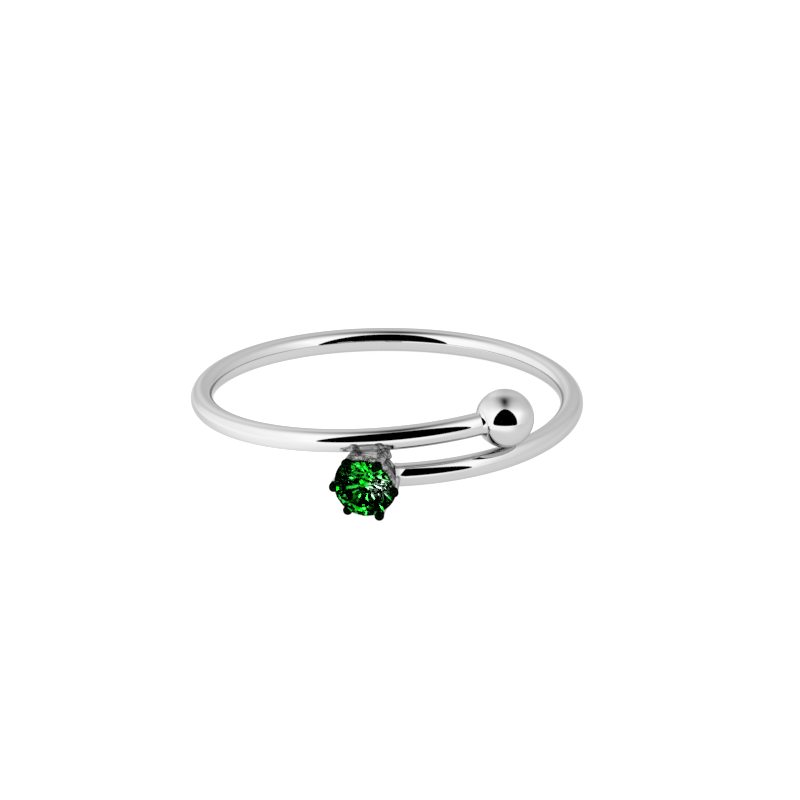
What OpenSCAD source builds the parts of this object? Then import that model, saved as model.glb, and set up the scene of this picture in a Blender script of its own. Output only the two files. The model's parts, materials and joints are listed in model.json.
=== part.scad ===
// Bypass ring of round wire, in millimetres. The upper end of the wire carries a polished
// ball, the lower end a six-prong basket with a round brilliant stone.
// The ring lies on its side on the plane z = 0, as it comes to rest by itself: the basket
// hangs below the wire, so the front of the band is lifted and the finger axis leans.
// Angles round the band are counted from +X towards +Y about the finger axis, and the
// basket and the ball are at the -Y side.

/* [Band] */
// Inside diameter of the flat back of the band
finger_d = 17.3; // [16.9:0.1:18.1]
// Diameter of the round wire
wire_d = 1.17; // [1.1:0.01:1.25]
// Angle at which the lower arm, with the basket, leaves the flat back
lower_bend = 59; // [50:1:70]
// Lean of the lower arm out of the plane of the back
lower_lean = 3.2; // [3:0.1:3.6]
// Angle at which the lower arm ends inside the basket
lower_end = -88.5; // [-90:0.5:-87]
// Angle at which the upper arm, with the ball, leaves the flat back
upper_bend = 168; // [160:1:176]
// Lean of the upper arm out of the plane of the back
upper_lean = 4.9; // [4.7:0.1:5.1]

/* [Ball] */
// Diameter of the ball
ball_d = 2.93; // [2.4:0.01:2.95]
// Angle of the ball round the band
ball_angle = 308.6; // [300:0.2:316]
// How far the middle of the ball sits outside the middle of the wire
ball_out = 0.23; // [0.2:0.01:0.4]

/* [Setting] */
// Distance of the stone's girdle from the finger axis
head_reach = 10.75; // [10.65:0.05:10.85]
// Angle of the stone's middle round the band
head_angle = -96.2; // [-97:0.1:-95.4]
// How far the stone's middle lies below the plane of the back
head_drop = 1.16; // [1.1:0.02:1.2]
// Turn of the setting about the finger axis, away from straight ahead
head_turn = 16.1; // [14:0.1:18]
// How far the stone faces downwards
head_dip = 9.5; // [8:0.1:11]
// Number of prongs
prongs = 6; // [6:1:6]
// Diameter of the circle through the prongs at the girdle
prong_circle_d = 3.16; // [3.1:0.02:3.24]
// Diameter of a prong
prong_d = 0.42; // [0.38:0.01:0.46]
// Diameter of the rounded tip of a prong
tip_d = 0.49; // [0.47:0.01:0.52]
// Lean of a prong, which narrows the basket towards its base
prong_lean = 5.7; // [4.5:0.1:6.5]
// Depth of the prongs' feet behind the girdle
foot_depth = 1.73; // [1.68:0.01:1.78]

/* [Stone] */
// Diameter of the stone
stone_d = 3; // [2.9:0.02:3.04]
// Width of the table over the diameter of the stone
table_ratio = 0.55; // [0.52:0.01:0.6]
// Slope of the eight main facets of the crown
crown_slope = 34.5; // [33:0.1:36]
// Slope of the sixteen facets between the crown's main facets and the girdle
upper_half_slope = 42; // [41:0.1:43]
// Slope of the eight main facets of the pavilion
pavilion_slope = 40.75; // [40:0.05:41.5]
// Thickness of the girdle over the diameter of the stone
girdle_ratio = 0.03; // [0.025:0.005:0.04]
// Gap between the stone and its seat in the prongs
seat_gap = 0.03; // [0.02:0.005:0.04]

/* [Rest] */
// Lift of the front of the ring as it lies
front_lift = 6.09; // [5:0.01:7]
// Sideways lean of the ring as it lies
side_lean = 1.91; // [0:0.01:4]
// How far the finger axis sits behind the middle of the space that the ring takes up
back_shift = 0.89; // [0.6:0.01:1.2]

/* [Hidden] */
$fn = 64;

metal_colour = [0.84, 0.84, 0.86];
stone_colour = [0.05, 0.5, 0.16];

// Band
band_r = (finger_d + wire_d) / 2;
knuckle_proud = 0.01;
bend_trim = 0.3;

// Setting: depths are behind the girdle plane, along the stone's axis
prong_r = prong_circle_d / 2;
tip_height = 0.12;
rail_depth = 0.44;
rail_r = 1.46;
rail_wall = 0.28;
rail_height = 0.48;
rail_sides = 12;
base_depth = 1.6;
base_r = 1.12;
base_d = 0.36;

// Stone
girdle_r = stone_d / 2;
girdle_h = stone_d * girdle_ratio;
table_r = girdle_r * table_ratio;
crown_h = (girdle_r - table_r) * tan(crown_slope);
pavilion_h = girdle_r * tan(pavilion_slope);
// Height cut off the point of the pavilion
culet_h = 0.04;
mains = 8;
main_step = 360 / mains;
half_step = main_step / 4;
// A half facet crosses the edge of the girdle on a chord this far from the stone's axis
half_r = girdle_r * cos(half_step);
// The point of a star facet, where two main and two half facets meet
half_rise = tan(upper_half_slope) * cos(half_step);
star_point_r = girdle_r * (half_rise - tan(crown_slope))
    / (half_rise - tan(crown_slope) * cos(main_step / 2));
star_point_h = half_rise * (girdle_r - star_point_r);
star_r = table_r * cos(main_step / 2);
star_slope = atan((crown_h - star_point_h) / (star_point_r - star_r));
// The lower halves run down to this share of the radius
lower_half_ratio = 0.23;
lower_half_slope = atan(
    tan(pavilion_slope) * (1 - lower_half_ratio * cos(main_step / 2))
    / (cos(half_step) * (1 - lower_half_ratio))
);
// The points of the main facets stop this far short of the girdle, so their planes cross the
// girdle's edge a little outside it
point_gap = 0.05;
crown_main_r = girdle_r + point_gap * (half_rise / tan(crown_slope) - 1);
pavilion_main_r = girdle_r
    + point_gap * (tan(lower_half_slope) * cos(half_step) / tan(pavilion_slope) - 1);

// Rest: the back of the band touches the surface, and its lowest point is at z = 0
axis_lean = acos(cos(front_lift) * cos(side_lean));
rest_shift = [0, back_shift, band_r * sin(axis_lean) + wire_d / 2];

module resting() {
    translate(rest_shift)
        rotate([-front_lift, side_lean, 0])
            children();
}

// The frame of an arm: the flat back's plane, leant about the wire's own direction at the bend
module arm(bend, lean) {
    rotate([0, 0, bend])
        translate([band_r, 0, 0])
            rotate([0, lean, 0])
                translate([-band_r, 0, 0])
                    rotate([0, 0, -bend])
                        children();
}

module wire_arc(from, to) {
    rotate([0, 0, from])
        rotate_extrude(angle = to - from)
            translate([band_r, 0])
                circle(d = wire_d);
}

// The three arcs stop just short of each other at the bends, and a rounded knuckle, a
// hundredth of a millimetre proud of the wire, closes each joint
module knuckle(bend) {
    rotate([0, 0, bend])
        translate([band_r, 0, 0])
            sphere(d = wire_d + 2 * knuckle_proud);
}

module band() {
    knuckle(lower_bend);
    knuckle(upper_bend);
    wire_arc(lower_bend + bend_trim, upper_bend - bend_trim);
    arm(lower_bend, -lower_lean)
        wire_arc(lower_end, lower_bend - bend_trim);
    arm(upper_bend, upper_lean)
        wire_arc(upper_bend + bend_trim, ball_angle);
}

module ball() {
    arm(upper_bend, upper_lean)
        rotate([0, 0, ball_angle])
            translate([band_r + ball_out, 0, 0])
                sphere(d = ball_d);
}

// The stone's own frame: its girdle in the XY plane, its table towards +Z
module in_head() {
    rotate([0, 0, head_angle])
        translate([head_reach, 0, -head_drop])
            rotate([0, 0, -head_angle])
                rotate([90 + head_dip, 0, -head_turn])
                    children();
}

module prong() {
    translate([prong_r, 0, 0])
        rotate([0, prong_lean, 0]) {
            translate([0, 0, -foot_depth])
                cylinder(d = prong_d, h = foot_depth + tip_height);
            translate([0, 0, tip_height])
                sphere(d = tip_d);
        }
}

// The room that the stone takes up, with the gap round it
module seat() {
    seat_r = girdle_r + seat_gap;
    upper_fall = seat_gap / cos(upper_half_slope) - seat_gap * tan(upper_half_slope);
    lower_fall = seat_gap / cos(lower_half_slope) - seat_gap * tan(lower_half_slope);
    rim_top = girdle_h / 2 + upper_fall;
    rim_bottom = -girdle_h / 2 - lower_fall;
    rotate_extrude()
        polygon([
            [0, rim_bottom - seat_r * tan(lower_half_slope)],
            [seat_r, rim_bottom],
            [seat_r, rim_top],
            [0, rim_top + seat_r * tan(upper_half_slope)],
        ]);
}

module gallery_rail() {
    translate([0, 0, -rail_depth])
        rotate_extrude()
            polygon([
                for (i = [0 : rail_sides - 1])
                    let (turn = (i + 0.5) * 360 / rail_sides)
                        [rail_r + rail_wall / 2 * cos(turn), rail_height / 2 * sin(turn)]
            ]);
}

module base_ring() {
    translate([0, 0, -base_depth])
        rotate_extrude()
            translate([base_r, 0])
                circle(d = base_d);
}

module setting() {
    difference() {
        for (i = [0 : prongs - 1])
            rotate([0, 0, i * 360 / prongs])
                prong();
        seat();
    }
    gallery_rail();
    base_ring();
}

module band_and_setting() {
    color(metal_colour)
        resting() {
            band();
            ball();
            in_head()
                setting();
        }
}

// A bar across the stone whose four sides are flat facets, two above and two below. The upper
// pair passes through upper = [radius, height] and the lower pair through lower
module facet_bar(turn, upper, upper_slope, lower, lower_slope) {
    rise = tan(upper_slope);
    fall = tan(lower_slope);
    top = upper[1] + upper[0] * rise;
    bottom = lower[1] - lower[0] * fall;
    edge_r = (top - bottom) / (rise + fall);
    edge_h = top - edge_r * rise;
    rotate([90, 0, turn])
        linear_extrude(4 * stone_d, center = true)
            polygon([[edge_r, edge_h], [0, top], [-edge_r, edge_h], [0, bottom]]);
}

// The girdle's cylinder, from the culet below to the table above
module rough_stone() {
    bottom = culet_h - girdle_h / 2 - pavilion_h;
    translate([0, 0, bottom])
        cylinder(r = girdle_r, h = girdle_h / 2 + crown_h - bottom);
}

// Each step turns by half a main facet and cuts what the steps before it have left: a bar of
// half facets every time, and a bar of main facets or of star facets by turns
module cut_stone(steps) {
    top = girdle_h / 2;
    turn = steps * main_step / 2;
    if (steps == 0)
        rough_stone();
    else
        intersection() {
            cut_stone(steps - 1);
            facet_bar(
                turn + half_step,
                [half_r, top], upper_half_slope,
                [half_r, -top], lower_half_slope
            );
            if (steps % 2 == 0)
                facet_bar(
                    turn,
                    [crown_main_r, top], crown_slope,
                    [pavilion_main_r, -top], pavilion_slope
                );
            else
                facet_bar(turn, [star_r, top + crown_h], star_slope, [stone_d, -top], pavilion_slope);
        }
}

module stone() {
    color(stone_colour)
        resting()
            in_head()
                cut_stone(mains);
}

band_and_setting();
stone();
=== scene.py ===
"""Looks of a bypass ring: round polished wire, an end ball and a six-prong basket with a green
round brilliant. Lengths are in metres and angles in degrees unless a name says otherwise."""

import json
import math

import bpy
from mathutils import Matrix, Vector

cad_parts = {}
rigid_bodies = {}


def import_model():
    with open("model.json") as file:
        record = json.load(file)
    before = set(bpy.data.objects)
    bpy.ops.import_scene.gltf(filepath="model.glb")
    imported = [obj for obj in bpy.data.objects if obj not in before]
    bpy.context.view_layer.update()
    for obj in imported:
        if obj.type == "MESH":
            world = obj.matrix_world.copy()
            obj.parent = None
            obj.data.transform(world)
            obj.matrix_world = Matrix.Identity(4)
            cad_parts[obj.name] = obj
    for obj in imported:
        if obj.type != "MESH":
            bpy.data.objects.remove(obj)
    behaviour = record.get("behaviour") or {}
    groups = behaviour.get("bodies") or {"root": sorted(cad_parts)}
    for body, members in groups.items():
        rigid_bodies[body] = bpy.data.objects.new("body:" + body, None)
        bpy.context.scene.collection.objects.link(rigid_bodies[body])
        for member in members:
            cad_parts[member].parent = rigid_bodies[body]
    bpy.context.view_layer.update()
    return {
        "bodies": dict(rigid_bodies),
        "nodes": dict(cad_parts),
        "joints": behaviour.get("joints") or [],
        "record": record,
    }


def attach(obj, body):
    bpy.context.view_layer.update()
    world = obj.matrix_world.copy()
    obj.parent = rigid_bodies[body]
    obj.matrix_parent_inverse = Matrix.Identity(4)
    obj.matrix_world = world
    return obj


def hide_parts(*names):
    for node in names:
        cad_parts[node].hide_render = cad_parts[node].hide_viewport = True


METAL_NODE = "band_and_setting"
STONE_NODE = "stone"
MM = 0.001

# Dimensions that the part's source has too
FINGER_D = 17.3 * MM
WIRE_R = 1.17 / 2 * MM
BAND_R = FINGER_D / 2 + WIRE_R
LOWER_BEND = 59
LOWER_LEAN = -3.2
LOWER_END = -88.5
UPPER_BEND = 168
UPPER_LEAN = 4.9
BALL_R = 2.93 / 2 * MM
BALL_ANGLE = 308.6
BALL_OUT = 0.23 * MM
HEAD_REACH = 10.75 * MM
HEAD_ANGLE = -96.2
HEAD_DROP = 1.16 * MM
HEAD_TURN = 16.1
HEAD_DIP = 9.5
PRONGS = 6
PRONG_CIRCLE_R = 3.16 / 2 * MM
PRONG_R = 0.42 / 2 * MM
TIP_R = 0.49 / 2 * MM
TIP_HEIGHT = 0.12 * MM
PRONG_LEAN = 5.7
FOOT_DEPTH = 1.73 * MM
RAIL_DEPTH = 0.44 * MM
RAIL_R = 1.46 * MM
RAIL_WALL = 0.28 * MM
RAIL_HEIGHT = 0.48 * MM
BASE_DEPTH = 1.6 * MM
BASE_R = 1.12 * MM
BASE_WIRE_R = 0.36 / 2 * MM
STONE_R = 3 / 2 * MM
GIRDLE_H = 0.09 * MM
SEAT_GAP = 0.03 * MM
UPPER_HALF_SLOPE = 42
LOWER_HALF_SLOPE = 41.94
FRONT_LIFT = 6.09
SIDE_LEAN = 1.91
BACK_SHIFT = 0.89 * MM

# Camera: seen against the flat back of the band, and where the picture's middle falls
CAMERA_ELEVATION = 18.6
CAMERA_DISTANCE = 0.9
PICTURE_WIDTH = 40 * MM
SENSOR = 36
AIM_RIGHT = 0.656 * MM
AIM_DOWN = 0.118 * MM

# The polished metal: how much of the light it mirrors, its tint towards the edges, the least
# and the most of its roughness, and the size of the patches in which that varies
METAL_REFLECTANCE = 0.55
EDGE_TINT = 0.7
POLISH = (0.01, 0.03)
POLISH_PATCH = 0.5 * MM
BUFFING_SIZE = 1.2 * MM
BUFFING_DEPTH = 0.0008 * MM

# The ball's worn front, from its lowest point at -1 to its highest at 1: how much its normal
# bends up, and how much it bends to the left for each share right of this line
BALL_LIFT = [(-1, 0.04), (-0.5, 0.07), (-0.25, 0.105), (0, 0.165), (0.28, 0.222), (0.45, 0.14),
             (0.61, 0.035), (0.8, 0), (1, 0)]
BALL_GATHER = [(-1, 0), (-0.3, 0), (0.1, 0.17), (0.3, 0.2), (0.6, 0.1), (0.8, 0)]
BALL_GATHER_LINE = -0.25

# The values between which noise mostly lies
NOISE_SPAN = (0.35, 0.65)

# The basket and its solder: roughness, sizes, and for each finish its reflectance, metallic
# share, reflectance where it is tarnished, and depth of its dents
CAST_ROUGHNESS = (0.06, 0.2)
CAST_PATCH = 0.2 * MM
DENT_SIZE = 0.18 * MM
CAST_FINISH = (0.6, 1.0, 0.2, 0.11 * MM)
DULL_FINISH = (0.85, 0.2, 0.55, 0.04 * MM)
SOLDER_FINISH = (0.35, 1.0, 0.1, 0.11 * MM)

# The prongs' tips and the rail's front, in a painted reflection: their near-black colour and
# green edge tint stand in for the dark, green stone that they would mirror
PAINTED_DARK_REFLECTION = (0.001, 0.005, 0.0015)
PAINTED_GREEN_EDGE_REFLECTION = (0.05, 0.2, 0.08, 1)
TIP_ROUGHNESS = (0.05, 0.2)
TIP_PATCH = 0.1 * MM

# The stone: the colours of the light that enters its deep, bright and pale zones, and the tint
# that it takes on each time it is mirrored inside. The pale zone is a painted reflection: it
# turns the light white where the crown would show a white reflection. Its middle is in the
# stone's frame
GEM_IOR = 2.15
DEEP_GREEN = (0.0005, 0.33, 0.002, 1)
BRIGHT_GREEN = (0.03, 0.5, 0.06, 1)
PAINTED_REFLECTION_GREEN = (0.72, 0.86, 0.76, 1)
INNER_TINT = (0.92, 0.99, 0.94, 1)
ZONE_SIZE = 0.5 * MM
PAINTED_REFLECTION_MIDDLE = Vector((0.95, 0.3, 0.35)) * MM
PAINTED_REFLECTION_FULL = 0.3 * MM
PAINTED_REFLECTION_REACH = 0.7 * MM

# The upper wire flares a little where it is joined to the ball
FLARE_LENGTH = 0.14 * MM
FLARE_RISE = 0.15 * MM

# The lower wire flares a little towards the basket, between these angles round the band and
# most at this angle round the wire
FILLET_START = -84.3
FILLET_END = -87.5
FILLET_RISE = 0.22 * MM
FILLET_SIDE = 40

# A flare's edge lies this far under the wire's surface
FLARE_SUNK = 0.002 * MM

# Prongs that lean or turn a little differently from the others, by their number
PRONG_LEANS = {0: 11}
PRONG_TURNS = {4: -4}
CLAW_PULLS = {3: 0.1 * MM, 4: 0.12 * MM}
SOLDERED_PRONGS = (0, 1, 2)
ROUGH_PRONGS = (1, 2)

# Heights in the stone's frame above which a claw bends in, and above which a tip takes the
# painted dark reflection of the stone
CLAW_START = -0.5 * MM
PAINTED_DARK_TIP_START = -0.12 * MM

# A run of solder: its radius, its width and height over that, and its middle above the foot
SOLDER_R = 0.3 * MM
SOLDER_WIDTH = 1.25
SOLDER_HEIGHT = 0.75
SOLDER_LIFT = 0.12 * MM

CUP_WALL = 0.08 * MM
CUP_TOP_R = 1.4 * MM
CUP_TOP_DEPTH = RAIL_DEPTH + 0.18 * MM
CUP_FOOT_R = BASE_R + 0.1 * MM

# The basket's side by the wires, and where the rail's front with the painted dark reflection
# starts: degrees from the first prong, and the height over half that of the rail's section
WIRE_SIDE_START = 5
WIRE_SIDE_END = 58
PAINTED_DARK_RAIL_START = 125
PAINTED_DARK_RAIL_HEIGHT = 0.2

# Faces round each hoop of the basket and round its cup
BASKET_SIDES = 160

# The light tent: levels as they show in the metal, for degrees left and right of the camera
WALLS = [(-180, 0.6), (-126, 0.83), (-90, 0.84), (-66, 0.89), (-45, 0.955), (44, 0.955),
         (56, 0.82), (66, 0.7), (90, 0.6), (110, 0.56), (180, 0.52)]
CEILING = [(-180, 0.56), (-100, 0.6), (-60, 0.72), (-45, 0.7), (-30, 0.62), (0, 0.54),
           (60, 0.56), (180, 0.52)]

# The tent's opening: its distance, and over that its corners right of and above the camera
OPENING_DISTANCE = 90 * MM
OPENING_CORNERS = [(-0.96, -0.34), (1.2, -0.36), (0.16, 1.41), (-0.3, 1.41)]
OPENING_ROUNDING = 0.3

# The floor: half its side, its paint, and what the paint adds to the floor's own glow
FLOOR_SIZE = 4
FLOOR_PAINT = (0.2, 0.2, 0.2, 1)
FLOOR_SHADE = 0.2

# Lamps that only the stone bends light from: degrees right of and above the camera, half
# width in degrees and strength. Each has a core with its own half width and strength
STONE_LAMPS = [(-35, 15, 20, 1.8), (-30, -45, 19, 1.8), (40, -35, 19, 1.6), (70, 60, 19, 1.7),
               (-45, 45, 19, 1.8), (-25, 130, 16, 4), (35, -135, 16, 4), (-40, 70, 8, 4),
               (15, -50, 10, 1.5), (-105, 82, 8, 4), (-25, 20, 7, 14), (-50, 10, 5, 14),
               (-105, -80, 6, 8), (15, -135, 6, 8), (-10, -20, 7, 1.6), (88, 72, 8, 1.6),
               (0, -40, 6, 1.6), (-10, 10, 5, 1.2), (20, 10, 6, 1.2)]
LAMP_CORE = 4
LAMP_CORE_STRENGTH = 14
DOME_RADIUS = 0.5
DOME_LEVEL = 0.002


def turn(angle, axis):
    return Matrix.Rotation(math.radians(angle), 4, axis)


def shift(x, y, z):
    return Matrix.Translation((x, y, z))


def degrees_stops(stops):
    """Ramp stops from 0 to 1 out of stops from -180 to 180 degrees."""
    return [(degrees / 360 + 0.5, level) for degrees, level in stops]


def tan(angle):
    return math.tan(math.radians(angle))


def cos(angle):
    return math.cos(math.radians(angle))


def sin(angle):
    return math.sin(math.radians(angle))


def resting():
    """From the flat back's own frame to the ring as it lies on the surface."""
    axis_lean = math.acos(cos(FRONT_LIFT) * cos(SIDE_LEAN))
    lift = BAND_R * math.sin(axis_lean) + WIRE_R
    return shift(0, BACK_SHIFT, lift) @ turn(SIDE_LEAN, "Y") @ turn(-FRONT_LIFT, "X")


def arm(bend, lean):
    """From an arm's own frame to the flat back's frame."""
    there = turn(bend, "Z") @ shift(BAND_R, 0, 0)
    return there @ turn(lean, "Y") @ there.inverted()


def in_head():
    """From the stone's own frame to the flat back's frame."""
    place = turn(HEAD_ANGLE, "Z") @ shift(HEAD_REACH, 0, -HEAD_DROP) @ turn(-HEAD_ANGLE, "Z")
    return place @ turn(-HEAD_TURN, "Z") @ turn(90 + HEAD_DIP, "X")


# Meshes


def mesh_object(name, points, faces, materials, smooth=True):
    mesh = bpy.data.meshes.new(name)
    mesh.from_pydata([tuple(p) for p in points], [], faces)
    mesh.update()
    for material in materials:
        mesh.materials.append(material)
    if smooth:
        mesh.polygons.foreach_set("use_smooth", [True] * len(mesh.polygons))
    obj = bpy.data.objects.new(name, mesh)
    bpy.context.collection.objects.link(obj)
    return obj


def grid_faces(rows, columns, rows_closed=False):
    """Quads between rows of points, each row a closed loop of that many columns."""
    faces = []
    for i in range(rows if rows_closed else rows - 1):
        here = i * columns
        there = (i + 1) % rows * columns
        for j in range(columns):
            k = (j + 1) % columns
            faces.append((here + j, here + k, there + k, there + j))
    return faces


def revolve(profile, sides, closed):
    """Rows of points round the Z axis, one row for each (radius, height) of the profile."""
    points = []
    for radius, height in profile:
        for j in range(sides):
            a = 360 * j / sides
            points.append(Vector((radius * cos(a), radius * sin(a), height)))
    faces = grid_faces(len(profile), sides, closed)
    if not closed:
        faces.append(tuple(reversed(range(sides))))
        last = (len(profile) - 1) * sides
        faces.append(tuple(range(last, last + sides)))
    return points, faces


def sphere_profile(radius, rows):
    """Radius and height along half a circle, without its two ends."""
    profile = []
    for i in range(1, rows):
        a = 180 * i / rows - 90
        profile.append((radius * cos(a), radius * sin(a)))
    return profile


def by_wires(angle):
    """Whether an angle round the stone's axis is on the basket's side by the wires."""
    return WIRE_SIDE_START < angle < WIRE_SIDE_END


def face_angle(face, sides):
    """Degrees round the axis of a face of a revolved mesh."""
    return 360 * (face.index % sides) / sides


def as_metal(obj):
    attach(obj, "root")
    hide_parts(METAL_NODE)
    return obj


# Materials


class Nodes:
    """Short calls for building a node tree."""

    def __init__(self, tree):
        self.tree = tree
        tree.nodes.clear()

    def new(self, kind, **settings):
        node = self.tree.nodes.new(kind)
        for key, value in settings.items():
            setattr(node, key, value)
        return node

    def plug(self, value, socket):
        if isinstance(value, bpy.types.NodeSocket):
            self.tree.links.new(value, socket)
        elif value is not None:
            socket.default_value = value

    def math(self, operation, a, b=None, c=None):
        node = self.new("ShaderNodeMath", operation=operation)
        for value, socket in zip((a, b, c), node.inputs):
            self.plug(value, socket)
        return node.outputs[0]

    def blend(self, share, first, second):
        """The first value where the share is 0, and the second where it is 1."""
        kept = self.math("MULTIPLY", first, self.math("SUBTRACT", 1.0, share))
        return self.math("ADD", kept, self.math("MULTIPLY", second, share))

    def mix(self, share, first, second):
        """The first colour where the share is 0, and the second where it is 1."""
        node = self.new("ShaderNodeMix", data_type="RGBA")
        for value, number in ((share, 0), (first, 6), (second, 7)):
            self.plug(value, node.inputs[number])
        return node.outputs[2]

    def measure(self, operation, a, b=None):
        node = self.new("ShaderNodeVectorMath", operation=operation)
        self.plug(a, node.inputs[0])
        self.plug(b, node.inputs[1])
        return node.outputs["Value"]

    def dot(self, a, b):
        return self.measure("DOT_PRODUCT", a, b)

    def smooth(self, value, low, high, to_low=0.0, to_high=1.0):
        node = self.new("ShaderNodeMapRange", interpolation_type="SMOOTHSTEP")
        for socket, number in zip(node.inputs, (value, low, high, to_low, to_high)):
            self.plug(number, socket)
        return node.outputs[0]

    def ramp(self, value, stops):
        """A curve through (place from 0 to 1, level) stops."""
        node = self.new("ShaderNodeValToRGB")
        elements = node.color_ramp.elements
        node.color_ramp.interpolation = "EASE"
        while len(elements) < len(stops):
            elements.new(0.5)
        for element, (place, level) in zip(elements, stops):
            element.position = place
            element.color = (level, level, level, 1)
        self.plug(value, node.inputs[0])
        return node.outputs[0]

    def curve(self, value, stops):
        """A smooth curve through stops from -1 to 1."""
        place = self.math("MULTIPLY_ADD", value, 0.5, 0.5)
        socket = self.ramp(place, [(0.5 + at / 2, level) for at, level in stops])
        socket.node.color_ramp.interpolation = "CARDINAL"
        return socket

    def band(self, value, width, depth):
        """A soft band where the value is near zero."""
        share = self.math("DIVIDE", value, width)
        fall = self.math("MULTIPLY", self.math("MULTIPLY", share, share), -1.0)
        return self.math("MULTIPLY", self.math("EXPONENT", fall), depth)

    def place(self):
        return self.new("ShaderNodeTexCoord").outputs["Object"]

    def noise(self, size, detail=2.0):
        """Noise whose patches are about this large."""
        node = self.new("ShaderNodeTexNoise")
        node.inputs["Scale"].default_value = 1 / size
        node.inputs["Detail"].default_value = detail
        self.plug(self.place(), node.inputs["Vector"])
        return node.outputs[0]

    def bump(self, height, depth):
        node = self.new("ShaderNodeBump")
        node.inputs["Distance"].default_value = depth
        self.plug(height, node.inputs["Height"])
        return node.outputs[0]

    def vector(self, operation, a, b=None, scale=None):
        node = self.new("ShaderNodeVectorMath", operation=operation)
        self.plug(a, node.inputs[0])
        self.plug(b, node.inputs[1])
        if scale is not None:
            self.plug(scale, node.inputs["Scale"])
        return node.outputs[0]

    def glow(self, strength):
        node = self.new("ShaderNodeEmission")
        self.plug(strength, node.inputs["Strength"])
        return node.outputs[0]

    def show(self, shader):
        output = self.new("ShaderNodeOutputMaterial")
        self.plug(shader, output.inputs["Surface"])


def new_material(name):
    material = bpy.data.materials.new(name)
    material.use_nodes = True
    return material, Nodes(material.node_tree)


def metal_shader(nodes, colour, roughness, patch):
    """Metal whose polish varies between two roughnesses, in patches of about this size."""
    shader = nodes.new("ShaderNodeBsdfPrincipled")
    shader.inputs["Metallic"].default_value = 1.0
    shader.inputs["Base Color"].default_value = (*colour, 1)
    shader.inputs["Specular Tint"].default_value = (EDGE_TINT, EDGE_TINT, EDGE_TINT, 1)
    polish = nodes.smooth(nodes.noise(patch), *NOISE_SPAN, *roughness)
    nodes.plug(polish, shader.inputs["Roughness"])
    return shader


def polished_shader(nodes):
    return metal_shader(nodes, [METAL_REFLECTANCE] * 3, POLISH, POLISH_PATCH)


def metal_material():
    """Silver-coloured metal with a mirror polish and faint buffing waves."""
    material, nodes = new_material("polished_metal")
    shader = polished_shader(nodes)
    waves = nodes.bump(nodes.noise(BUFFING_SIZE), BUFFING_DEPTH)
    nodes.plug(waves, shader.inputs["Normal"])
    nodes.show(shader.outputs[0])
    return material


def ball_material():
    """The same polish on the ball, where it is worn a little flat at the front: a bend of the
    surface's normal lifts and gathers what the ball mirrors there."""
    right, up, back = view_axes()
    material, nodes = new_material("polished_ball")
    shader = polished_shader(nodes)
    normal = nodes.new("ShaderNodeNewGeometry").outputs["Normal"]
    height = nodes.dot(normal, tuple(up))
    aside = nodes.dot(normal, tuple(right))
    front = nodes.smooth(nodes.dot(normal, tuple(back)), 0.15, 0.6)
    lift = nodes.math("MULTIPLY", nodes.curve(height, BALL_LIFT), front)
    past_line = nodes.math("SUBTRACT", aside, BALL_GATHER_LINE)
    leftward = nodes.math("MULTIPLY", nodes.curve(height, BALL_GATHER), past_line)
    leftward = nodes.math("MULTIPLY", leftward, front)
    bent = nodes.vector("ADD", normal, nodes.vector("SCALE", tuple(up), scale=lift))
    bent = nodes.vector("ADD", bent, nodes.vector("SCALE", tuple(-right), scale=leftward))
    nodes.plug(nodes.vector("NORMALIZE", bent), shader.inputs["Normal"])
    nodes.show(shader.outputs[0])
    return material


def cast_material(name, reflectance, shine, tarnished, dent):
    """The basket and its solder as they were cast: duller, dented and tarnished in patches."""
    material, nodes = new_material(name)
    shader = metal_shader(nodes, [reflectance] * 3, CAST_ROUGHNESS, CAST_PATCH)
    shader.inputs["Metallic"].default_value = shine
    tarnish = nodes.smooth(nodes.noise(CAST_PATCH, 3.0), 0.42, 0.62, reflectance, tarnished)
    nodes.plug(tarnish, shader.inputs["Base Color"])
    nodes.plug(nodes.bump(nodes.noise(DENT_SIZE, 3.0), dent), shader.inputs["Normal"])
    nodes.show(shader.outputs[0])
    return material


def painted_dark_reflection_material():
    """Prong tips and the rail's front, with a painted reflection of the dark, green stone."""
    material, nodes = new_material("painted_stone_reflection")
    shader = metal_shader(nodes, PAINTED_DARK_REFLECTION, TIP_ROUGHNESS, TIP_PATCH)
    shader.inputs["Specular Tint"].default_value = PAINTED_GREEN_EDGE_REFLECTION
    nodes.show(shader.outputs[0])
    return material


def stone_material():
    """Green gem: the light that enters takes on a green that varies from zone to zone, with a
    pale zone at the right that paints in a white reflection off the crown, and deepens each
    time it is mirrored inside."""
    material, nodes = new_material("green_gem")
    brightness = nodes.smooth(nodes.noise(ZONE_SIZE), *NOISE_SPAN)
    zones = nodes.mix(brightness, DEEP_GREEN, BRIGHT_GREEN)
    # Painted reflection: the light turns pale near this spot, as a white reflection off the crown
    reflection_spot = tuple(resting() @ in_head() @ PAINTED_REFLECTION_MIDDLE)
    away = nodes.measure("DISTANCE", nodes.place(), reflection_spot)
    reflection_share = nodes.smooth(away, PAINTED_REFLECTION_FULL, PAINTED_REFLECTION_REACH, 1.0, 0.0)
    entry = nodes.new("ShaderNodeBsdfRefraction")
    nodes.plug(nodes.mix(reflection_share, zones, PAINTED_REFLECTION_GREEN), entry.inputs["Color"])
    inside = nodes.new("ShaderNodeBsdfGlass")
    inside.inputs["Color"].default_value = INNER_TINT
    for shader in (entry, inside):
        shader.inputs["Roughness"].default_value = 0.0
        shader.inputs["IOR"].default_value = GEM_IOR
    both = nodes.new("ShaderNodeMixShader")
    nodes.plug(nodes.new("ShaderNodeNewGeometry").outputs["Backfacing"], both.inputs[0])
    nodes.plug(entry.outputs[0], both.inputs[1])
    nodes.plug(inside.outputs[0], both.inputs[2])
    nodes.show(both.outputs[0])
    return material


# The ring


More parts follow.
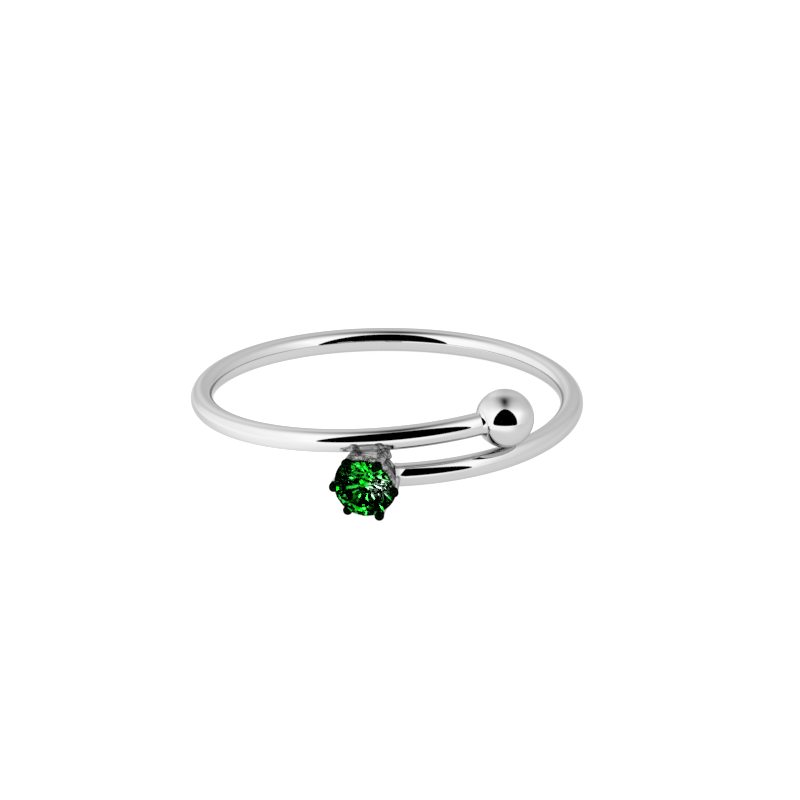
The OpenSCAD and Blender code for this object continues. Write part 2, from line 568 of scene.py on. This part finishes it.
def wire_rings():
    """Centre, outward and sideways direction of the wire at each step along its length."""
    lower = resting() @ arm(LOWER_BEND, LOWER_LEAN)
    back = resting()
    upper = resting() @ arm(UPPER_BEND, UPPER_LEAN)
    steps = 520
    for i in range(steps + 1):
        a = LOWER_END + (BALL_ANGLE - LOWER_END) * i / steps
        frame = lower if a < LOWER_BEND else upper if a > UPPER_BEND else back
        out = Vector((cos(a), sin(a), 0))
        yield frame @ (BAND_R * out), frame.to_3x3() @ out, frame.to_3x3() @ Vector((0, 0, 1))


def make_wire(material):
    sides = 64
    points = []
    rows = 0
    for centre, out, side in wire_rings():
        rows += 1
        for j in range(sides):
            a = 360 * j / sides
            points.append(centre + WIRE_R * (cos(a) * out + sin(a) * side))
    faces = [tuple(reversed(f)) for f in grid_faces(rows, sides)]
    faces.append(tuple(range(sides)))
    faces.append(tuple(reversed(range((rows - 1) * sides, rows * sides))))
    return as_metal(mesh_object("band_wire", points, faces, [material]))


def make_ball(material):
    points, faces = revolve(sphere_profile(BALL_R, 64), 128, False)
    place = resting() @ arm(UPPER_BEND, UPPER_LEAN) @ turn(BALL_ANGLE, "Z")
    place = place @ shift(BAND_R + BALL_OUT, 0, 0)
    return as_metal(mesh_object("end_ball", [place @ p for p in points], faces, [material]))


def make_join(material):
    """The hollow flare of solder that leads from the upper wire to the ball."""
    arm_frame = resting() @ arm(UPPER_BEND, UPPER_LEAN)
    ball = arm_frame @ turn(BALL_ANGLE, "Z") @ Vector((BAND_R + BALL_OUT, 0, 0))
    end = arm_frame @ turn(BALL_ANGLE - math.degrees(BALL_R / BAND_R), "Z")
    out, along, side = (end.to_3x3() @ axis for axis in Matrix.Identity(3))
    origin = end @ Vector((BAND_R, 0, 0))
    offset = ball - origin
    inner_r = 0.5 * WIRE_R
    depth_in_ball = 0.2 * MM
    sides = 96
    steps = 20

    def on_ball(spoke, across, radius):
        """Where along the wire this spoke round its axis meets the ball."""
        rise = radius - offset.dot(spoke)
        return offset.dot(along) - math.sqrt(BALL_R**2 - offset.dot(across) ** 2 - rise**2)

    columns = []
    for j in range(sides):
        a = 360 * j / sides
        spoke = cos(a) * out + sin(a) * side
        across = cos(a) * side - sin(a) * out
        meeting = on_ball(spoke, across, WIRE_R)
        start = Vector((meeting - FLARE_LENGTH, WIRE_R - FLARE_SUNK))
        bend = Vector((meeting - 0.3 * FLARE_LENGTH, WIRE_R))
        top = WIRE_R + FLARE_RISE
        finish = Vector((on_ball(spoke, across, top), top))
        column = []
        for i in range(steps + 1):
            t = i / steps
            column.append((1 - t) ** 2 * start + 2 * t * (1 - t) * bend + t**2 * finish)
        column.append((finish.x + depth_in_ball, inner_r))
        column.append((start.x, inner_r))
        columns.append([origin + z * along + r * spoke for z, r in column])
    rows = steps + 3
    points = [column[i] for i in range(rows) for column in columns]
    faces = [tuple(reversed(f)) for f in grid_faces(rows, sides, True)]
    return as_metal(mesh_object("ball_join", points, faces, [material]))


def make_fillet(material):
    """The hollow flare of solder from the lower wire to the basket, on the front and the top."""
    frame = resting() @ arm(LOWER_BEND, LOWER_LEAN)
    inner_r = 0.5 * WIRE_R
    steps = 24
    sides = 96
    rings = []
    for i in range(steps + 1):
        t = i / steps
        angle = FILLET_START + (FILLET_END - FILLET_START) * t
        rings.append((angle, WIRE_R - FLARE_SUNK * (1 - t), FILLET_RISE * t**2))
    rings.append((FILLET_END, inner_r, 0))
    rings.append((FILLET_START, inner_r, 0))
    points = []
    for angle, radius, rise in rings:
        out = Vector((cos(angle), sin(angle), 0))
        for j in range(sides):
            a = 360 * j / sides
            share = max(0, cos(a - FILLET_SIDE)) ** 2
            spoke = cos(a) * out + sin(a) * Vector((0, 0, 1))
            points.append(frame @ (BAND_R * out + (radius + rise * share) * spoke))
    faces = grid_faces(len(rings), sides, True)
    return as_metal(mesh_object("basket_fillet", points, faces, [material]))


def seat_radius(height):
    """Radius of the room that the stone takes up, with the gap round it, at a height."""
    upper_fall = SEAT_GAP / cos(UPPER_HALF_SLOPE) - SEAT_GAP * tan(UPPER_HALF_SLOPE)
    lower_fall = SEAT_GAP / cos(LOWER_HALF_SLOPE) - SEAT_GAP * tan(LOWER_HALF_SLOPE)
    above = height - (GIRDLE_H / 2 + upper_fall)
    below = -GIRDLE_H / 2 - lower_fall - height
    full = STONE_R + SEAT_GAP
    return full - max(0, above) / tan(UPPER_HALF_SLOPE) - max(0, below) / tan(LOWER_HALF_SLOPE)


def clear_of_seat(point):
    """The point, moved straight out from the stone's axis where it lies in the stone's room."""
    radius = math.hypot(point.x, point.y)
    room = seat_radius(point.z)
    if radius >= room or radius == 0:
        return point
    return Vector((point.x * room / radius, point.y * room / radius, point.z))


def prong_profile():
    """Radius and height along a prong, from its rounded foot to its round tip."""
    profile = []
    foot_round = 0.08 * MM
    foot_rows = 4
    for i in range(foot_rows + 1):
        a = 90 * i / foot_rows
        radius = PRONG_R - foot_round * (1 - sin(a))
        profile.append((radius, -FOOT_DEPTH + foot_round * (1 - cos(a))))
    rows = 40
    neck = TIP_HEIGHT - math.sqrt(TIP_R**2 - PRONG_R**2)
    first = -FOOT_DEPTH + foot_round
    for i in range(1, rows):
        profile.append((PRONG_R, first + (neck - first) * i / rows))
    start = -math.degrees(math.acos(PRONG_R / TIP_R))
    tip_rows = 28
    for i in range(tip_rows):
        a = start + (90 - start) * i / tip_rows
        profile.append((TIP_R * cos(a), TIP_HEIGHT + TIP_R * sin(a)))
    return profile


def leaning_prong(number):
    """From a prong's own frame to the stone's frame, before it is turned to its place."""
    return shift(PRONG_CIRCLE_R, 0, 0) @ turn(PRONG_LEANS.get(number, PRONG_LEAN), "Y")


def pulled_in(point, pull):
    """The point, with the last stretch of the prong bent this far towards the stone's axis."""
    share = min(1, max(0, (point.z - CLAW_START) / (TIP_HEIGHT - CLAW_START)))
    return Vector((point.x - pull * share**2, point.y, point.z))


def make_prong(number, metal, dark):
    points, faces = revolve(prong_profile(), 40, False)
    lean = leaning_prong(number)
    angle = 360 * number / PRONGS + PRONG_TURNS.get(number, 0)
    around = resting() @ in_head() @ turn(angle, "Z")
    pull = CLAW_PULLS.get(number, 0)
    placed = [clear_of_seat(pulled_in(lean @ p, pull)) for p in points]
    obj = mesh_object(f"prong_{number + 1}", [around @ p for p in placed], faces, [metal, dark])
    # Faces high on the claw take the painted dark reflection of the stone
    for face in obj.data.polygons:
        height = sum(placed[v].z for v in face.vertices) / len(face.vertices)
        face.material_index = 1 if height > PAINTED_DARK_TIP_START else 0
    return as_metal(obj)


def make_hoop(name, depth, radius, half_width, half_height, material, front, side):
    """A ring round the stone's axis with an oval section. It can have another material at the
    front, except at the top and on the right, and one more on the side by the wires."""
    rows = 32
    profile = []
    for i in range(rows):
        a = 360 * i / rows
        profile.append((radius + half_width * cos(a), -depth + half_height * sin(a)))
    points, faces = revolve(profile, BASKET_SIDES, True)
    place = resting() @ in_head()
    obj = mesh_object(name, [place @ p for p in points], faces, [material, front, side])
    for face in obj.data.polygons:
        height = sin(360 * (face.index // BASKET_SIDES + 0.5) / rows)
        angle = face_angle(face, BASKET_SIDES)
        # On the rail, the front material is the painted dark reflection of the stone
        at_front = height > PAINTED_DARK_RAIL_HEIGHT and angle > PAINTED_DARK_RAIL_START
        face.material_index = 1 if at_front else 2 if by_wires(angle) else 0
    return as_metal(obj)


def make_cup(material, side):
    """The basket's thin closed bottom and its wall, which lean against the inside of the prongs,
    with another material on the side by the wires."""
    top = Vector((CUP_TOP_R, -CUP_TOP_DEPTH))
    foot = Vector((CUP_FOOT_R, -BASE_DEPTH))
    rows = 12
    outer = [foot + (top - foot) * (i / rows) for i in range(rows + 1)]
    bottom = foot.y + CUP_WALL
    inner = [(radius - CUP_WALL, max(height, bottom)) for radius, height in reversed(outer)]
    hole_r = 0.02 * MM
    centre = [(hole_r, bottom), (hole_r, foot.y)]
    points, faces = revolve(outer + inner + centre, BASKET_SIDES, True)
    place = resting() @ in_head()
    obj = mesh_object("basket_cup", [place @ p for p in points], faces, [material, side])
    for face in obj.data.polygons:
        face.material_index = 1 if by_wires(face_angle(face, BASKET_SIDES)) else 0
    return as_metal(obj)


def make_solder(number, material):
    """A run of solder round a prong's foot, where it is joined to the wire. Three wide lobes
    and five small ones make it uneven."""
    rows = 24
    sides = 48
    points = []
    for i in range(1, rows):
        a = 180 * i / rows - 90
        for j in range(sides):
            b = 360 * j / sides
            uneven = 1 + 0.1 * sin(3 * b + 40) * cos(a) + 0.06 * sin(5 * b) * sin(2 * a)
            radius = SOLDER_R * uneven * cos(a)
            height = SOLDER_HEIGHT * SOLDER_R * sin(a)
            points.append(Vector((radius * cos(b), SOLDER_WIDTH * radius * sin(b), height)))
    faces = grid_faces(rows - 1, sides)
    faces.append(tuple(reversed(range(sides))))
    faces.append(tuple(range((rows - 2) * sides, (rows - 1) * sides)))
    place = resting() @ in_head() @ turn(360 * number / PRONGS, "Z") @ leaning_prong(number)
    place = place @ shift(0, 0, -FOOT_DEPTH + SOLDER_LIFT)
    name = f"solder_{number + 1}"
    return as_metal(mesh_object(name, [place @ p for p in points], faces, [material]))


# Stage


def view_axes():
    """The picture's right, its up, and the direction back to the camera, in the row frame."""
    to_row = resting().to_3x3()
    right = to_row @ Vector((1, 0, 0))
    up = to_row @ Vector((0, sin(CAMERA_ELEVATION), cos(CAMERA_ELEVATION)))
    back = to_row @ Vector((0, -cos(CAMERA_ELEVATION), sin(CAMERA_ELEVATION)))
    return right, up, back


def beside_camera(aside, above):
    """Direction this many degrees right of and above the one to the camera."""
    right, up, back = view_axes()
    away = math.hypot(aside, above)
    across = (aside * right + above * up) / max(away, 1e-6)
    return cos(away) * back + sin(away) * across


def make_camera():
    right, up, back = view_axes()
    data = bpy.data.cameras.new("camera")
    data.sensor_width = SENSOR
    data.lens = SENSOR * CAMERA_DISTANCE / PICTURE_WIDTH
    data.clip_start = 0.01
    data.clip_end = 20
    camera = bpy.data.objects.new("camera", data)
    bpy.context.collection.objects.link(camera)
    aim = resting().translation + AIM_RIGHT * right - AIM_DOWN * up
    axes = Matrix((right, up, back)).transposed()
    camera.matrix_world = Matrix.Translation(aim + CAMERA_DISTANCE * back) @ axes.to_4x4()
    bpy.context.scene.camera = camera


def make_floor():
    """Pale paper that glows: near the ring it is brightest at the left and in front, and far
    from it at the left. Its paint lets the ring shade it a little."""
    size = FLOOR_SIZE
    corners = [(-size, -size, 0), (size, -size, 0), (size, size, 0), (-size, size, 0)]
    material, nodes = new_material("floor")
    place = nodes.place()
    across = nodes.dot(place, (1, 0, 0))
    inward = nodes.dot(place, (0, 1, 0))
    radius = nodes.math("MAXIMUM", nodes.measure("LENGTH", place), 1e-6)

    # Levels as they show in the metal
    left = nodes.smooth(across, -8 * MM, 1 * MM, 1.0, 0.0)
    extra = nodes.smooth(inward, -7 * MM, 5 * MM, 0.2, 0.03)
    near = nodes.math("MULTIPLY_ADD", left, extra, 0.6)
    aside = nodes.math("DIVIDE", across, radius)
    behind = nodes.math("DIVIDE", inward, radius)
    aside = nodes.math("ADD", aside, nodes.smooth(behind, -0.2, 0.5, 0.0, 1.3))
    far = nodes.smooth(aside, 0.35, 0.85, 0.86, 0.56)
    level = nodes.blend(nodes.smooth(radius, 12 * MM, 24 * MM), near, far)

    level = nodes.math("DIVIDE", level, METAL_REFLECTANCE)
    level = nodes.math("SUBTRACT", level, FLOOR_SHADE)
    paint = nodes.new("ShaderNodeBsdfDiffuse")
    paint.inputs["Color"].default_value = FLOOR_PAINT
    both = nodes.new("ShaderNodeAddShader")
    nodes.plug(nodes.glow(level), both.inputs[0])
    nodes.plug(paint.outputs[0], both.inputs[1])
    nodes.show(both.outputs[0])
    floor = mesh_object("floor", corners, [(0, 1, 2, 3)], [material], smooth=False)
    floor.visible_transmission = False


def rounded(corners, radius):
    """The outline through the corners, each rounded off from this far along its sides."""
    outline = []
    steps = 8
    for i, corner in enumerate(corners):
        before = corner + radius * (corners[i - 1] - corner).normalized()
        after = corner + radius * (corners[(i + 1) % len(corners)] - corner).normalized()
        for j in range(steps + 1):
            t = j / steps
            outline.append((1 - t) ** 2 * before + 2 * t * (1 - t) * corner + t**2 * after)
    return outline


def make_opening():
    """The dark opening of the tent, in front of the ring, which shows in the metal and the
    stone. The camera looks through it, so it isn't drawn to the camera itself."""
    right, up, back = view_axes()
    middle = resting().translation + OPENING_DISTANCE * back
    outline = rounded([Vector(corner) for corner in OPENING_CORNERS], OPENING_ROUNDING)
    points = [middle + OPENING_DISTANCE * (p.x * right + p.y * up) for p in outline]
    material, nodes = new_material("opening")
    shader = nodes.new("ShaderNodeBsdfDiffuse")
    shader.inputs["Color"].default_value = (0, 0, 0, 1)
    nodes.show(shader.outputs[0])
    faces = [tuple(range(len(points)))]
    obj = mesh_object("tent_opening", points, faces, [material], smooth=False)
    obj.visible_camera = False
    obj.visible_diffuse = False
    obj.visible_shadow = False


def make_stone_lamps():
    """A dark dome with soft lamps and bright cores, which shows only through the stone."""
    points, faces = revolve(sphere_profile(DOME_RADIUS, 24), 48, False)
    material, nodes = new_material("stone_lamps")
    ray = nodes.vector("NORMALIZE", nodes.place())
    light = DOME_LEVEL
    for aside, above, half_width, strength in STONE_LAMPS:
        facing = nodes.dot(ray, tuple(beside_camera(aside, above)))
        lamps = ((half_width, 2, strength), (LAMP_CORE, 1, LAMP_CORE_STRENGTH))
        lamp, core = (
            nodes.smooth(facing, cos(width + soft), cos(width - soft), 0.0, level)
            for width, soft, level in lamps
        )
        light = nodes.math("ADD", light, nodes.math("ADD", lamp, core))
    nodes.show(nodes.glow(light))
    material.cycles.emission_sampling = "NONE"
    dome = mesh_object("stone_lamps", points, faces, [material])
    for ray_kind in ("camera", "diffuse", "glossy", "shadow", "volume_scatter"):
        setattr(dome, "visible_" + ray_kind, False)


def make_world():
    """A white light tent, brightest in front and darker at the right than at the left, with a
    dark seam overhead."""
    right, up, back = view_axes()
    world = bpy.data.worlds.new("tent")
    bpy.context.scene.world = world
    world.use_nodes = True
    world.cycles.sampling_method = "NONE"
    nodes = Nodes(world.node_tree)
    ray = nodes.new("ShaderNodeTexCoord").outputs["Generated"]
    x = nodes.dot(ray, tuple(right))
    y = nodes.dot(ray, tuple(up))
    z = nodes.dot(ray, tuple(back))

    # Degrees right of and above the direction to the camera
    away = nodes.math("MULTIPLY", nodes.math("ARCCOSINE", z), math.degrees(1))
    across = nodes.math("ADD", nodes.math("MULTIPLY", x, x), nodes.math("MULTIPLY", y, y))
    scale = nodes.math("DIVIDE", away, nodes.math("MAXIMUM", nodes.math("SQRT", across), 1e-5))
    aside = nodes.math("MULTIPLY", x, scale)
    above = nodes.math("MULTIPLY", y, scale)

    # The walls pass into the ceiling, higher up at the far left
    around = nodes.math("MULTIPLY_ADD", aside, 1 / 360, 0.5)
    walls = nodes.ramp(around, degrees_stops(WALLS))
    ceiling = nodes.ramp(around, degrees_stops(CEILING))
    left = nodes.smooth(aside, -100, -55, 35.0, 0.0)
    raised = nodes.smooth(nodes.math("SUBTRACT", above, left), 38, 84)
    light = nodes.blend(raised, walls, ceiling)

    # The seam, a little left of straight up, widens as it rises
    beside = nodes.math("ADD", x, 0.05)
    spread = nodes.math("DIVIDE", beside, nodes.smooth(above, 50, 105, 0.8, 1.8))
    seam = nodes.math("ADD", nodes.band(spread, 0.2, 0.66), nodes.band(spread, 0.38, 0.3))
    seam = nodes.math("MULTIPLY", seam, nodes.smooth(above, 48, 72))
    seam = nodes.math("MULTIPLY", seam, nodes.smooth(above, 74, 108, 1.0, 0.0))
    light = nodes.math("MULTIPLY", light, nodes.math("SUBTRACT", 1.0, seam))

    light = nodes.math("DIVIDE", light, METAL_REFLECTANCE)
    background = nodes.new("ShaderNodeBackground")
    background.inputs["Color"].default_value = (1, 1, 1, 1)
    nodes.plug(light, background.inputs["Strength"])
    output = nodes.new("ShaderNodeOutputWorld")
    nodes.plug(background.outputs[0], output.inputs["Surface"])


def make_ring(frame):
    metal = metal_material()
    # The prongs' tips and the rail's front take this painted dark reflection of the stone
    dark = painted_dark_reflection_material()
    cast = cast_material("cast_metal", *CAST_FINISH)
    dull = cast_material("dull_metal", *DULL_FINISH)
    solder = cast_material("solder", *SOLDER_FINISH)
    make_wire(metal)
    make_ball(ball_material())
    make_join(metal)
    make_fillet(metal)
    for number in range(PRONGS):
        make_prong(number, cast if number in ROUGH_PRONGS else metal, dark)
    rail_section = (RAIL_WALL / 2, RAIL_HEIGHT / 2)
    make_hoop("gallery_rail", RAIL_DEPTH, RAIL_R, *rail_section, cast, dark, solder)
    make_hoop("base_ring", BASE_DEPTH, BASE_R, BASE_WIRE_R, BASE_WIRE_R, dull, dull, solder)
    make_cup(dull, solder)
    for number in SOLDERED_PRONGS:
        make_solder(number, solder)
    stone = frame["nodes"][STONE_NODE]
    gem = stone_material()
    for slot in stone.material_slots:
        slot.material = gem


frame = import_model()
make_camera()
make_world()
make_opening()
make_stone_lamps()
make_floor()
make_ring(frame)
scene = bpy.context.scene
scene.view_settings.view_transform = "Standard"

# Enough bounces to cross the stone, with five mirrorings at most in it and in the metal
scene.cycles.max_bounces = 24
scene.cycles.transmission_bounces = 24
scene.cycles.glossy_bounces = 5
scene.cycles.sample_clamp_indirect = 5

bpy.context.view_layer.update()
